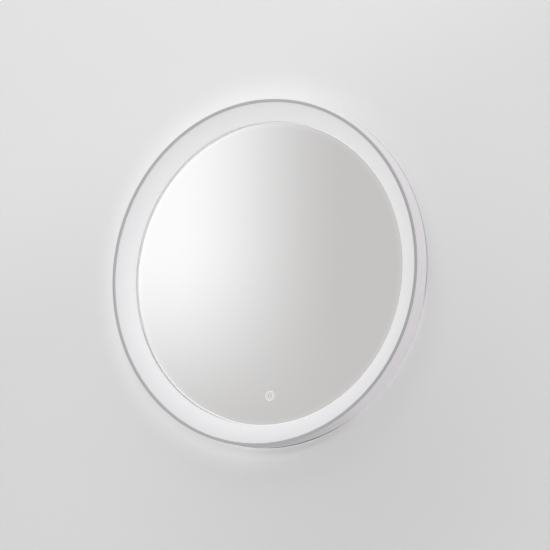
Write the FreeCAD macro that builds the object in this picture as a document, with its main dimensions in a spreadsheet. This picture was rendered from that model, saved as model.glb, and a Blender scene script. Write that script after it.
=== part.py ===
"""Round LED wall mirror: a recessed mirror inside a dished opal light ring, hung on a wall rail.

The row origin is midway between the wall rail's two screws, on the wall. +X is to the right for someone
who faces the mirror, +Z is up, and the mirror stands off the wall towards -Y. Distances from the wall are
called stand-offs below, so a stand-off of d lies at y = -d.
"""
import FreeCAD, Part
import math
import os
import re
import Sketcher

# Driving dimensions, in millimetres unless the name says count or angle
SIZES = {
    # whole mirror
    "outer_radius": 300.0,      # outside of the side band and the lip
    "wall_gap": 4.0,            # shadow gap between the wall and the side band
    "fit_gap": 0.15,            # radial room between round pieces that fit together
    "cut_overrun": 2.0,         # how far a cutting shape runs past the surface it opens
    # front lip
    "lip_width": 5.0,
    "lip_thick": 1.5,
    "lip_round": 0.5,
    "leg_thick": 1.0,           # the lip's hidden leg, inside the side band
    "leg_length": 5.0,
    # dished opal ring
    "ring_width": 32.0,         # from the lip to the mirror's visible edge
    "diffuser_thick": 2.5,
    "foot_height": 3.0,         # upright inner wall, from the glass to the start of the slope
    "foot_width": 4.5,
    "foot_round": 0.7,
    # side band
    "band_thick": 2.5,
    "boss_radius": 4.0,
    "boss_height": 12.0,
    "boss_sink": 0.6,           # how far a boss is merged into the band's wall
    "boss_count": 8,
    # mirror
    "mirror_recess": 20.0,      # from the front of the lip back to the glass
    "glass_thick": 4.0,
    "glass_lap": 4.8,           # hidden margin of glass under the diffuser's foot
    "glass_arris": 0.6,         # ground edge
    "gasket_thick": 0.8,
    "gasket_setback": 1.2,      # from the visible edge to the gasket, a fine shadow line
    "tape_thick": 1.0,
    "tape_width": 14.0,
    # carrier behind the glass
    "inner_depth": 11.0,        # from the back plate to the back of the glass
    "chassis_lap": 4.0,         # how far the carrier's web lies outside the mirror's visible edge
    "chassis_thick": 1.0,
    "chassis_flange": 18.0,
    "chassis_count": 6,
    # light strip
    "strip_width": 8.0,
    "strip_thick": 0.3,
    "strip_glue": 0.1,          # its adhesive backing
    "strip_gap_angle": 2.0,     # degrees left open where the strip's ends meet
    "chip_length": 3.5,
    "chip_width": 2.8,
    "chip_height": 0.8,
    "chip_pitch": 16.7,
    # back plate
    "plate_thick": 1.0,
    "bead_width": 10.0,         # pressed stiffening bead
    "bead_rise": 1.5,
    "bead_margin": 5.0,         # flat left between the bead and the carrier
    "vent_count": 9,
    "vent_width": 3.0,
    "vent_length": 26.0,
    "vent_pitch": 9.0,
    "vent_drop": 60.0,          # vents below the mirror's centre
    # screws and rivets
    "screw_radius": 1.6,
    "screw_head_radius": 3.6,
    "screw_head": 2.0,
    "screw_length": 10.0,       # under the head
    "bolt_radius": 2.0,
    "bolt_head_radius": 4.0,
    "bolt_head": 2.2,
    "bolt_spare": 1.0,          # bolt showing past its nut
    "nut_flats": 7.0,
    "nut_height": 3.0,
    "socket_radius": 1.1,       # drive recess in a head
    "socket_depth": 1.1,
    "rivet_radius": 1.6,
    "rivet_head_radius": 3.2,
    "rivet_head": 0.9,
    "rivet_tail_radius": 2.4,
    "rivet_tail": 1.4,
    # power supply
    "driver_length": 150.0,
    "driver_width": 42.0,
    "driver_rise": 40.0,        # above the mirror's centre
    "driver_air": 1.5,          # left between the supply and the glass
    "driver_corner": 3.0,
    "cover_thick": 2.0,
    "cover_inset": 0.4,
    "ear_length": 14.0,
    "ear_reach": 11.0,
    "ear_thick": 2.0,
    "ear_margin": 12.0,         # from the supply's end to its fixing ear
    "ear_screw_length": 4.5,
    # supply inlet
    "terminal_width": 22.0,
    "terminal_height": 30.0,
    "terminal_thick": 9.0,
    "terminal_gap": 28.0,       # from the terminal block to the power supply
    "pole_pitch": 12.0,
    "well_radius": 2.4,
    "well_depth": 3.0,
    "well_inset": 5.0,
    "grommet_bore": 4.0,
    "grommet_neck": 6.5,
    "grommet_flange_radius": 9.5,
    "grommet_flange": 1.3,
    "grommet_drop": 45.0,       # below the terminal block's centre
    # touch switch
    "touch_inset": 50.0,        # touch mark's centre, from the mirror's visible edge
    "module_length": 48.0,
    "module_width": 30.0,
    "module_air": 1.2,          # left between the switch and the back plate
    "module_corner": 2.5,
    "module_tape_margin": 2.5,
    # inside wiring
    "lead_radius": 1.5,
    "core_radius": 1.2,         # single mains cores
    "core_entry": 6.0,          # length of core held in the terminal block
    "lead_bend": 24.0,
    "lead_spread": 9.0,         # the two leads leave the supply this far above and below its middle
    "lead_start": 40.0,
    "led_lead_rise": 20.0,      # where the light lead meets the strip, above the mirror's centre
    "sensor_lead_side": 130.0,
    "lead_clip_inset": 30.0,    # the clip on the light lead, from the carrier's inner edge
    "clip_length": 8.0,
    "clip_width": 12.0,
    "clip_base": 1.2,
    "clip_wall": 1.2,
    "clip_slot": 2.0,
    # hanging rails
    "rail_inset": 99.0,         # wall screws, from the carrier's inner edge at the top of the mirror
    "rail_thick": 1.2,
    "rail_length": 220.0,
    "rail_below": 14.0,         # wall flange below the screws
    "rail_above": 10.0,         # wall flange above the screws
    "rail_hook": 13.0,          # upstand in front of the wall
    "rail_room": 0.25,          # play between a tongue and what it hangs beside
    "rail_round": 0.4,
    "rail_corner": 4.0,
    "wall_screw_radius": 2.75,
    "wall_screw_pitch": 160.0,
    "hanger_length": 200.0,
    "hanger_tongue": 8.0,
    "hanger_flange": 22.0,
    "hanger_corner": 4.0,
    "rivet_end": 16.0,          # from the hanger's end to its first rivet
    "hanger_rivet_count": 4,
    "rivet_rise": 12.0,
    # rubber feet
    "bumper_radius": 8.0,
    "bumper_taper": 1.2,
    "bumper_inset": 45.0,       # from the outside of the mirror
    "bumper_angle": 45.0,       # degrees below level, left and right
}

# Places worked out from the driving dimensions; stand-offs are measured out from the wall
PLACES = {
    "plate_front": "wall_gap + plate_thick",
    "glass_back": "plate_front + inner_depth",
    "glass_front": "glass_back + glass_thick",
    "lip_front": "glass_front + mirror_recess",
    "lip_back": "lip_front - lip_thick",
    "lip_inner": "outer_radius - lip_width",
    "view_radius": "lip_inner - ring_width",
    "band_inner": "outer_radius - band_thick",
    "plate_radius": "band_inner - fit_gap",
    "leg_outer": "band_inner - fit_gap",
    "leg_inner": "leg_outer - leg_thick",
    "slope_start": "glass_front + foot_height",
    "foot_back": "glass_front + gasket_thick",
    "foot_outer": "view_radius + foot_width",
    "slope_rise": "(lip_back - slope_start) / ring_width",
    "slope_drop": "diffuser_thick * sqrt(1 + slope_rise ^ 2)",
    "boss_circle": "band_inner - boss_radius + boss_sink",
    "glass_radius": "view_radius + glass_lap",
    "tape_back": "glass_back - tape_thick",
    "web_outer": "view_radius + chassis_lap",
    "web_inner": "web_outer - chassis_thick",
    "flange_inner": "web_outer - chassis_flange",
    "axis_drop": "flange_inner - rail_inset",
    "bolt_circle": "(web_inner + flange_inner) / 2",
    "strip_inner": "web_outer + strip_glue",
    "strip_outer": "strip_inner + strip_thick",
    "strip_middle": "(plate_front + tape_back) / 2",
    "bead_outer": "flange_inner - bead_margin",
    "bead_inner": "bead_outer - bead_width",
    "driver_front": "glass_back - driver_air",
    "cover_back": "driver_front - cover_thick",
    "ear_side": "driver_length / 2 - ear_margin - ear_length / 2",
    "ear_centre": "driver_width / 2 + ear_reach / 2",
    "terminal_side": "-(driver_length / 2 + terminal_gap + terminal_width / 2)",
    "grommet_rise": "driver_rise - grommet_drop",
    "touch_rise": "-(view_radius - touch_inset)",
    "module_back": "plate_front + module_air",
    "lead_standoff": "plate_front + clip_base + clip_wall / 2 + fit_gap + lead_radius",
    "hook_room": "rail_thick + 2 * rail_room",
    "rail_top": "rail_above + rail_hook",
    "hanger_top": "rail_top + hanger_flange",
    "rivet_pitch": "(hanger_length - 2 * rivet_end) / (hanger_rivet_count - 1)",
    "sensor_top": "driver_rise - lead_spread - (sensor_lead_side - driver_length / 2 - lead_start / 2)",
    "sensor_bottom": "touch_rise + sensor_lead_side - module_length / 2 - lead_start",
}

doc = FreeCAD.newDocument("round_led_mirror")
sheet = doc.addObject("Spreadsheet::Sheet", "Sizes")
for row, (alias, value) in enumerate(SIZES.items(), start=1):
    sheet.set(f"A{row}", alias)
    sheet.set(f"B{row}", str(value))
    sheet.setAlias(f"B{row}", alias)
doc.recompute()


def bound(text):
    """An expression in plain names, rewritten as one that reads the sheet."""
    def swap(match):
        word = match.group(0)
        if word in PLACES:
            return f"({bound(PLACES[word])})"
        return f"Sizes.{word}" if word in SIZES else word
    return re.sub(r"[a-z_]+", swap, str(text))


def size(text):
    """The value of an expression in plain names, as a number."""
    return float(sheet.evalExpression(bound(text)))


nodes = []


def add_node(label, kind):
    """A document object for one piece, whose label names its file."""
    node = doc.addObject(kind, label)
    node.Label = label
    nodes.append(node)
    return node


def new_body(label, on_mirror_axis=True):
    """A body for one piece, centred on the mirror's axis or on the row origin."""
    body = add_node(label, "PartDesign::Body")
    if on_mirror_axis:
        body.setExpression("Placement.Base.z", bound("-axis_drop"))
    return body


def origin_part(body, role):
    """One of the body's own origin planes or axes."""
    return next(part for part in body.Origin.OriginFeatures if part.Role == role)


def new_sketch(body, plane, standoff="0"):
    """An empty sketch on an origin plane, moved along the plane's normal."""
    sketch = body.newObject("Sketcher::SketchObject", f"{body.Label}_sketch")
    sketch.AttachmentSupport = [(origin_part(body, plane), "")]
    sketch.MapMode = "FlatFace"
    sketch.setExpression("AttachmentOffset.Base.z", bound(standoff))
    return sketch


def dimension(sketch, kind, places, text):
    """A dimension of the sketch, bound to the sheet."""
    index = sketch.addConstraint(Sketcher.Constraint(kind, *places, size(text)))
    sketch.setExpression(f"Constraints[{index}]", bound(text))


def draw_outline(sketch, corners):
    """A closed outline of straight runs; each corner is a pair of expressions."""
    spots = [FreeCAD.Vector(size(across), size(up), 0) for across, up in corners]
    runs = [Part.LineSegment(spot, spots[(i + 1) % len(spots)]) for i, spot in enumerate(spots)]
    lines = sketch.addGeometry(runs)
    for i, line in enumerate(lines):
        following = lines[(i + 1) % len(lines)]
        sketch.addConstraint(Sketcher.Constraint("Coincident", line, 2, following, 1))
    for line, (across, up) in zip(lines, corners):
        dimension(sketch, "DistanceX", (-1, 1, line, 1), across)
        dimension(sketch, "DistanceY", (-1, 1, line, 1), up)


def draw_rectangle(sketch, across, up, width, height):
    """A rectangle about a centre."""
    left, right = (f"({across}) {sign} ({width}) / 2" for sign in "-+")
    low, high = (f"({up}) {sign} ({height}) / 2" for sign in "-+")
    draw_outline(sketch, [(left, low), (right, low), (right, high), (left, high)])


def draw_circle(sketch, across, up, radius):
    """A circle about a centre."""
    centre = FreeCAD.Vector(size(across), size(up), 0)
    index = sketch.addGeometry(Part.Circle(centre, FreeCAD.Vector(0, 0, 1), size(radius)))
    dimension(sketch, "DistanceX", (-1, 1, index, 3), across)
    dimension(sketch, "DistanceY", (-1, 1, index, 3), up)
    dimension(sketch, "Radius", (index,), radius)


def spin(body, corners, angle="360"):
    """A revolved piece; each corner is a radius and a stand-off from the wall."""
    sketch = new_sketch(body, "XY_Plane")
    draw_outline(sketch, [(radius, f"-({standoff})") for radius, standoff in corners])
    turned = body.newObject("PartDesign::Revolution", f"{body.Label}_turned")
    turned.Profile = sketch
    turned.ReferenceAxis = (sketch, ["V_Axis"])
    turned.setExpression("Angle", bound(angle))
    doc.recompute()
    return turned


def pad(body, sketch, length, symmetric=False):
    """Material grown from a sketch along its normal."""
    grown = body.newObject("PartDesign::Pad", f"{body.Label}_pad")
    grown.Profile = sketch
    grown.SideType = "Symmetric" if symmetric else "One side"
    grown.setExpression("Length", bound(length))
    doc.recompute()
    return grown


def pocket(body, sketch, length):
    """Material cut away both ways from a sketch."""
    before = body.Shape.Volume
    cut = body.newObject("PartDesign::Pocket", f"{body.Label}_pocket")
    cut.Profile = sketch
    cut.SideType = "Symmetric"
    cut.setExpression("Length", bound(length))
    doc.recompute()
    if not body.Shape.Volume < before:
        raise RuntimeError(f"a pocket of {body.Label} cuts nothing")
    return cut


def polar(body, features, count, angle="360"):
    """Features repeated about the mirror's axis."""
    ring = body.newObject("PartDesign::PolarPattern", f"{body.Label}_ring")
    ring.Originals = features
    ring.Axis = (origin_part(body, "Y_Axis"), [""])
    ring.setExpression("Angle", bound(angle))
    ring.setExpression("Occurrences", bound(count))
    body.Tip = ring
    doc.recompute()
    return ring


def row_of(body, features, axis, count, length):
    """Features repeated along one of the body's axes."""
    line = body.newObject("PartDesign::LinearPattern", f"{body.Label}_row")
    line.Originals = features
    line.Direction = (origin_part(body, axis), [""])
    line.setExpression("Length", bound(length))
    line.setExpression("Occurrences", bound(count))
    body.Tip = line
    doc.recompute()
    return line


def soften(body, feature, radius, chosen, kind="Fillet"):
    """A fillet or chamfer on the edges that the test picks."""
    names = [f"Edge{i}" for i, edge in enumerate(feature.Shape.Edges, start=1) if chosen(edge)]
    if not names:
        raise RuntimeError(f"no edge of {body.Label} to soften")
    softened = body.newObject(f"PartDesign::{kind}", f"{body.Label}_{kind.lower()}")
    softened.Base = (feature, names)
    softened.setExpression("Radius" if kind == "Fillet" else "Size", bound(radius))
    doc.recompute()
    return softened


def circle_at(radius, standoff):
    """A test for a circular edge about the axis, at a radius and a stand-off."""
    def chosen(edge):
        curve = edge.Curve
        if not isinstance(curve, Part.Circle):
            return False
        near = abs(curve.Radius - size(radius)) < EDGE_TOLERANCE
        return near and abs(curve.Center.y + size(standoff)) < EDGE_TOLERANCE
    return chosen


def runs_along(axis):
    """A test for a straight edge parallel to a direction."""
    def chosen(edge):
        if not isinstance(edge.Curve, Part.Line):
            return False
        return abs(edge.Curve.Direction.dot(axis)) > 1 - EDGE_TOLERANCE
    return chosen


def corner_at(up):
    """A test for a straight edge square to the wall, at a height."""
    along = runs_along(Y_AXIS)

    def chosen(edge):
        return along(edge) and abs(edge.Vertexes[0].Point.z - size(up)) < EDGE_TOLERANCE
    return chosen


X_AXIS = FreeCAD.Vector(1, 0, 0)
Y_AXIS = FreeCAD.Vector(0, 1, 0)
EDGE_TOLERANCE = 1e-6


# Front of the mirror
def make_trim_ring():
    body = new_body("trim_ring")
    lip = spin(body, [
        ("lip_inner", "lip_front"), ("outer_radius", "lip_front"), ("outer_radius", "lip_back"),
        ("leg_outer", "lip_back"), ("leg_outer", "lip_back - leg_length"),
        ("leg_inner", "lip_back - leg_length"), ("leg_inner", "lip_back"), ("lip_inner", "lip_back"),
    ])
    outside = circle_at("outer_radius", "lip_front")
    inside = circle_at("lip_inner", "lip_front")
    soften(body, lip, "lip_round", lambda edge: outside(edge) or inside(edge))


def make_diffuser_ring():
    body = new_body("diffuser_ring")
    rim = "leg_inner - fit_gap"
    dish = spin(body, [
        ("view_radius", "foot_back"), ("view_radius", "slope_start"), ("lip_inner", "lip_back"),
        (rim, "lip_back"), (rim, "lip_back - slope_drop"), ("lip_inner", "lip_back - slope_drop"),
        ("foot_outer", "slope_start + foot_width * slope_rise - slope_drop"), ("foot_outer", "foot_back"),
    ])
    soften(body, dish, "foot_round", circle_at("view_radius", "slope_start"))


def make_side_band():
    body = new_body("side_band")
    spin(body, [
        ("band_inner", "wall_gap"), ("outer_radius", "wall_gap"),
        ("outer_radius", "lip_back"), ("band_inner", "lip_back"),
    ])
    sketch = new_sketch(body, "XZ_Plane", "plate_front")
    draw_circle(sketch, "boss_circle", "0", "boss_radius")
    boss = pad(body, sketch, "boss_height")
    sketch = new_sketch(body, "XZ_Plane", "plate_front")
    draw_circle(sketch, "boss_circle", "0", "screw_radius + fit_gap")
    pilot = pocket(body, sketch, "2 * screw_length")
    polar(body, [boss, pilot], "boss_count")


def make_mirror_glass():
    body = new_body("mirror_glass")
    sketch = new_sketch(body, "XZ_Plane", "glass_back")
    draw_circle(sketch, "0", "0", "glass_radius")
    disc = pad(body, sketch, "glass_thick")
    soften(body, disc, "glass_arris", circle_at("glass_radius", "glass_front"), "Chamfer")


def make_glass_seats():
    spin(new_body("glass_gasket"), [
        ("view_radius + gasket_setback", "glass_front"), ("foot_outer", "glass_front"),
        ("foot_outer", "foot_back"), ("view_radius + gasket_setback", "foot_back"),
    ])
    spin(new_body("glass_tape"), [
        ("web_inner - tape_width", "tape_back"), ("web_inner", "tape_back"),
        ("web_inner", "glass_back"), ("web_inner - tape_width", "glass_back"),
    ])


# Carrier and light strip
def make_chassis_ring():
    body = new_body("chassis_ring")
    spin(body, [
        ("flange_inner", "plate_front"), ("web_outer", "plate_front"), ("web_outer", "tape_back"),
        ("flange_inner", "tape_back"), ("flange_inner", "tape_back - chassis_thick"),
        ("web_inner", "tape_back - chassis_thick"), ("web_inner", "plate_front + chassis_thick"),
        ("flange_inner", "plate_front + chassis_thick"),
    ])
    sketch = new_sketch(body, "YZ_Plane", "web_outer")
    draw_circle(sketch, "-lead_standoff", "led_lead_rise", "lead_radius + 2 * fit_gap")
    pocket(body, sketch, "2 * chassis_flange")
    sketch = new_sketch(body, "XZ_Plane", "plate_front")
    draw_circle(sketch, "0", "bolt_circle", "bolt_radius + fit_gap")
    hole = pocket(body, sketch, "2 * chassis_thick + cut_overrun")
    polar(body, [hole], "chassis_count")


def make_led_strip():
    back = "strip_middle - strip_width / 2"
    front = "strip_middle + strip_width / 2"
    spin(new_body("led_strip"), [
        ("strip_inner", back), ("strip_outer", back), ("strip_outer", front), ("strip_inner", front),
    ], "360 - strip_gap_angle")


def make_led_chips():
    body = new_body("led_chips")
    sketch = new_sketch(body, "YZ_Plane", "strip_outer")
    draw_rectangle(sketch, "-strip_middle", "-chip_length", "chip_width", "chip_length")
    chip = pad(body, sketch, "chip_height")
    chip_count = math.floor(size("2 * pi * strip_outer / chip_pitch"))
    polar(body, [chip], str(chip_count), f"360 - 360 / {chip_count}")


# Back plate and its fixings
def make_back_plate():
    body = new_body("back_plate")
    spin(body, [
        ("0", "wall_gap"), ("bead_inner", "wall_gap"), ("bead_inner + bead_rise", "wall_gap + bead_rise"),
        ("bead_outer - bead_rise", "wall_gap + bead_rise"), ("bead_outer", "wall_gap"),
        ("plate_radius", "wall_gap"), ("plate_radius", "plate_front"), ("bead_outer", "plate_front"),
        ("bead_outer - bead_rise", "plate_front + bead_rise"),
        ("bead_inner + bead_rise", "plate_front + bead_rise"), ("bead_inner", "plate_front"),
        ("0", "plate_front"),
    ])
    through = "2 * plate_thick + cut_overrun"
    sketch = new_sketch(body, "XZ_Plane", "wall_gap")
    draw_circle(sketch, "terminal_side", "grommet_rise", "grommet_neck")
    for side in ("-", ""):
        draw_circle(sketch, f"{side}ear_side", f"driver_rise - ({side}ear_centre)", "screw_radius + fit_gap")
    for place in rivet_places():
        draw_circle(sketch, place, "axis_drop + rail_top + rivet_rise", "rivet_radius + fit_gap")
    pocket(body, sketch, through)
    sketch = new_sketch(body, "XZ_Plane", "wall_gap")
    first_vent = "-(vent_count - 1) / 2 * vent_pitch"
    draw_rectangle(sketch, first_vent, "-vent_drop", "vent_width", "vent_length - vent_width")
    slot = pocket(body, sketch, through)
    sketch = new_sketch(body, "XZ_Plane", "wall_gap")
    for side in "-+":
        end = f"-vent_drop {side} (vent_length - vent_width) / 2"
        draw_circle(sketch, first_vent, end, "vent_width / 2")
    ends = pocket(body, sketch, through)
    row_of(body, [slot, ends], "X_Axis", "vent_count", "(vent_count - 1) * vent_pitch")
    sketch = new_sketch(body, "XZ_Plane", "wall_gap")
    draw_circle(sketch, "boss_circle", "0", "screw_radius + 2 * fit_gap")
    hole = pocket(body, sketch, through)
    polar(body, [hole], "boss_count")
    sketch = new_sketch(body, "XZ_Plane", "wall_gap")
    draw_circle(sketch, "0", "bolt_circle", "bolt_radius + fit_gap")
    hole = pocket(body, sketch, through)
    polar(body, [hole], "chassis_count")


def turned_screw(body, across, up, head_standoff, sizes):
    """A pan-head screw seated at a stand-off, pointing away from the wall, and its drive recess."""
    head_radius, head, shank_radius, shank = sizes
    sketch = new_sketch(body, "XZ_Plane", f"{head_standoff} - {head}")
    draw_circle(sketch, across, up, head_radius)
    cap = pad(body, sketch, head)
    sketch = new_sketch(body, "XZ_Plane", head_standoff)
    draw_circle(sketch, across, up, shank_radius)
    stem = pad(body, sketch, shank)
    sketch = new_sketch(body, "XZ_Plane", f"{head_standoff} - {head}")
    draw_circle(sketch, across, up, "socket_radius")
    recess = pocket(body, sketch, "2 * socket_depth")
    return [cap, stem, recess]


def make_plate_fixings():
    body = new_body("band_screws")
    screw = ("screw_head_radius", "screw_head", "screw_radius", "screw_length")
    polar(body, turned_screw(body, "boss_circle", "0", "wall_gap", screw), "boss_count")
    body = new_body("chassis_screws")
    grip = "plate_thick + chassis_thick + nut_height + bolt_spare"
    bolt = ("bolt_head_radius", "bolt_head", "bolt_radius", grip)
    polar(body, turned_screw(body, "0", "bolt_circle", "wall_gap", bolt), "chassis_count")
    body = new_body("chassis_nuts")
    sketch = new_sketch(body, "XZ_Plane", "plate_front + chassis_thick")
    corners = []
    for turn in range(6):
        across = f"nut_flats / sqrt(3) * cos({60 * turn} deg)"
        up = f"bolt_circle + nut_flats / sqrt(3) * sin({60 * turn} deg)"
        corners.append((across, up))
    draw_outline(sketch, corners)
    draw_circle(sketch, "0", "bolt_circle", "bolt_radius + fit_gap")
    nut = pad(body, sketch, "nut_height")
    polar(body, [nut], "chassis_count")


# Power supply, inlet and touch switch
def make_driver():
    body = new_body("driver_case")
    sketch = new_sketch(body, "XZ_Plane", "plate_front")
    draw_rectangle(sketch, "0", "driver_rise", "driver_length", "driver_width")
    case = pad(body, sketch, "cover_back - plate_front")
    soften(body, case, "driver_corner", runs_along(Y_AXIS))
    for side in ("-", ""):
        sketch = new_sketch(body, "XZ_Plane", "plate_front")
        ear_up = f"driver_rise - ({side}ear_centre)"
        draw_rectangle(sketch, f"{side}ear_side", ear_up, "ear_length", "ear_reach")
        draw_circle(sketch, f"{side}ear_side", ear_up, "screw_radius + fit_gap")
        pad(body, sketch, "ear_thick")
    body = new_body("driver_cover")
    sketch = new_sketch(body, "XZ_Plane", "cover_back")
    draw_rectangle(sketch, "0", "driver_rise", "driver_length - 2 * cover_inset", "driver_width - 2 * cover_inset")
    lid = pad(body, sketch, "cover_thick")
    soften(body, lid, "driver_corner - cover_inset", runs_along(Y_AXIS))
    body = new_body("driver_screws")
    short = ("screw_head_radius", "screw_head", "screw_radius", "ear_screw_length")
    for side in ("-", ""):
        turned_screw(body, f"{side}ear_side", f"driver_rise - ({side}ear_centre)", "wall_gap", short)


def make_inlet():
    body = new_body("terminal_block")
    sketch = new_sketch(body, "XZ_Plane", "plate_front")
    draw_rectangle(sketch, "terminal_side", "driver_rise", "terminal_width", "terminal_height")
    pad(body, sketch, "terminal_thick")
    first_pole = "driver_rise - pole_pitch / 2"
    sketch = new_sketch(body, "YZ_Plane", "terminal_side + terminal_width / 2")
    draw_circle(sketch, "-lead_standoff", first_pole, "core_radius + fit_gap")
    entry = pocket(body, sketch, "2 * (core_entry + cut_overrun)")
    sketch = new_sketch(body, "XZ_Plane", "plate_front + terminal_thick")
    for side in ("-", "+"):
        well_side = f"terminal_side {side} (terminal_width / 2 - well_inset)"
        draw_circle(sketch, well_side, first_pole, "well_radius")
    wells = pocket(body, sketch, "2 * well_depth")
    row_of(body, [entry, wells], "Z_Axis", "2", "pole_pitch")
    body = new_body("cable_grommet")
    body.setExpression("Placement.Base.x", bound("terminal_side"))
    body.setExpression("Placement.Base.z", bound("grommet_rise - axis_drop"))
    spin(body, [
        ("grommet_bore", "wall_gap - grommet_flange"), ("grommet_flange_radius", "wall_gap - grommet_flange"),
        ("grommet_flange_radius", "wall_gap"), ("grommet_neck - fit_gap", "wall_gap"),
        ("grommet_neck - fit_gap", "plate_front"), ("grommet_flange_radius", "plate_front"),
        ("grommet_flange_radius", "plate_front + grommet_flange"),
        ("grommet_bore", "plate_front + grommet_flange"),
    ])


def make_touch_switch():
    body = new_body("touch_module")
    sketch = new_sketch(body, "XZ_Plane", "module_back")
    draw_rectangle(sketch, "0", "touch_rise", "module_length", "module_width")
    case = pad(body, sketch, "tape_back - module_back")
    soften(body, case, "module_corner", runs_along(Y_AXIS))
    body = new_body("module_tape")
    sketch = new_sketch(body, "XZ_Plane", "tape_back")
    length, width = (f"module_{side} - 2 * module_tape_margin" for side in ("length", "width"))
    draw_rectangle(sketch, "0", "touch_rise", length, width)
    pad(body, sketch, "tape_thick")


# Inside wiring
def make_lead(label, points, radius_name):
    """A round lead on the mirror's axis frame, through points joined by straight runs and arcs."""
    radius = size(radius_name)
    bend = size("lead_bend")
    spots = [FreeCAD.Vector(size(across), -size("lead_standoff"), size(up)) for across, up in points]
    edges = []
    start = spots[0]
    for before, corner, after in zip(spots, spots[1:], spots[2:]):
        back = (before - corner).normalize()
        ahead = (after - corner).normalize()
        half_turn = (math.pi - back.getAngle(ahead)) / 2
        reach = bend * math.tan(half_turn)
        enter = corner + back * reach
        leave = corner + ahead * reach
        middle = (back + ahead).normalize() * (bend / math.cos(half_turn) - bend)
        edges.append(Part.LineSegment(start, enter).toShape())
        edges.append(Part.Arc(enter, corner + middle, leave).toShape())
        start = leave
    edges.append(Part.LineSegment(start, spots[-1]).toShape())
    path = Part.Wire(edges)
    ring = Part.Wire(Part.makeCircle(radius, spots[0], spots[1] - spots[0]))
    tube = path.makePipeShell([ring], True, True)
    expected = math.pi * radius ** 2 * path.Length
    if not math.isclose(tube.Volume, expected, rel_tol=0.001):
        raise RuntimeError(f"{label} isn't a whole tube")
    print(f"{label}: {path.Length:.1f} mm long, bends of {bend:.1f} mm")
    return tube


def add_shape(label, shape):
    """A node whose shape is built from the sheet's sizes, moved to the mirror's centre."""
    node = add_node(label, "Part::Feature")
    node.Shape = shape
    node.Placement = FreeCAD.Placement(FreeCAD.Vector(0, 0, -size("axis_drop")), FreeCAD.Rotation())


def make_leads():
    supply_end = "driver_length / 2"
    led_rise = "driver_rise + lead_spread"
    strip_end = "sqrt((web_outer - fit_gap) ^ 2 - (led_lead_rise + lead_radius) ^ 2)"
    led_turn = f"{supply_end} + lead_start"
    add_shape("led_lead", make_lead("led_lead", [
        (supply_end, led_rise), (led_turn, led_rise),
        (f"{led_turn} + {led_rise} - led_lead_rise", "led_lead_rise"), (strip_end, "led_lead_rise"),
    ], "lead_radius"))
    low_rise = "driver_rise - lead_spread"
    module_end = "module_length / 2"
    add_shape("sensor_lead", make_lead("sensor_lead", [
        (supply_end, low_rise), (f"{supply_end} + lead_start / 2", low_rise),
        ("sensor_lead_side", "sensor_top"), ("sensor_lead_side", "sensor_bottom"),
        (f"{module_end} + lead_start", "touch_rise"), (module_end, "touch_rise"),
    ], "lead_radius"))
    cores = []
    for side in ("-", "+"):
        up = f"driver_rise {side} pole_pitch / 2"
        inside = "terminal_side + terminal_width / 2 - core_entry"
        cores.append(make_lead("mains_core", [(inside, up), (f"-({supply_end})", up)], "core_radius"))
    add_shape("mains_leads", Part.makeCompound(cores))


def clip_at(across, up, turned):
    """A stick-on clip that holds a lead: a base and an open ring, along X or turned upright."""
    length, base, standoff = size("clip_length"), size("clip_base"), size("lead_standoff")
    inner = size("lead_radius + fit_gap")
    outer = inner + size("clip_wall")
    width, slot = size("clip_width"), size("clip_slot")
    corner = FreeCAD.Vector(-length / 2, -size("plate_front") - base, -width / 2)
    foot = Part.makeBox(length, base, width, corner)
    start = FreeCAD.Vector(-length / 2, -standoff, 0)
    ring = Part.makeCylinder(outer, length, start, X_AXIS)
    bore = Part.makeCylinder(inner, length, start, X_AXIS)
    mouth = Part.makeBox(length, outer, slot, FreeCAD.Vector(-length / 2, -standoff - outer, -slot / 2))
    clip = foot.fuse(ring).cut(bore).cut(mouth).removeSplitter()
    if turned:
        clip.rotate(FreeCAD.Vector(), Y_AXIS, 90)
    clip.translate(FreeCAD.Vector(across, 0, up))
    return clip


# Where the clips hold the sensor lead, along its upright run
CLIP_SHARES = (0.25, 0.75)


def make_lead_clips():
    clips = [clip_at(size("flange_inner - lead_clip_inset"), size("led_lead_rise"), False)]
    for share in CLIP_SHARES:
        up = size(f"sensor_top + (sensor_bottom - sensor_top) * {share}")
        clips.append(clip_at(size("sensor_lead_side"), up, True))
    add_shape("lead_clips", Part.makeCompound(clips))


# Hanging rails and rubber feet
def rivet_places():
    """Where the hanger's rivets stand, left to right."""
    count = round(size("hanger_rivet_count"))
    return [f"({step} - ({count} - 1) / 2) * rivet_pitch" for step in range(count)]


def make_wall_rail():
    body = new_body("wall_rail", on_mirror_axis=False)
    sketch = new_sketch(body, "YZ_Plane")
    front = "hook_room + rail_thick"
    section = [
        ("0", "-rail_below"), ("rail_thick", "-rail_below"), ("rail_thick", "rail_above - rail_thick"),
        (front, "rail_above - rail_thick"), (front, "rail_top"), ("hook_room", "rail_top"),
        ("hook_room", "rail_above"), ("0", "rail_above"),
    ]
    draw_outline(sketch, [(f"-({standoff})", up) for standoff, up in section])
    hook = pad(body, sketch, "rail_length", symmetric=True)
    hook = soften(body, hook, "rail_corner", corner_at("-rail_below"))
    soften(body, hook, "rail_round", runs_along(X_AXIS))
    sketch = new_sketch(body, "XZ_Plane")
    for side in ("-", ""):
        draw_circle(sketch, f"{side}wall_screw_pitch / 2", "0", "wall_screw_radius")
    pocket(body, sketch, "2 * rail_thick + cut_overrun")


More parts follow.
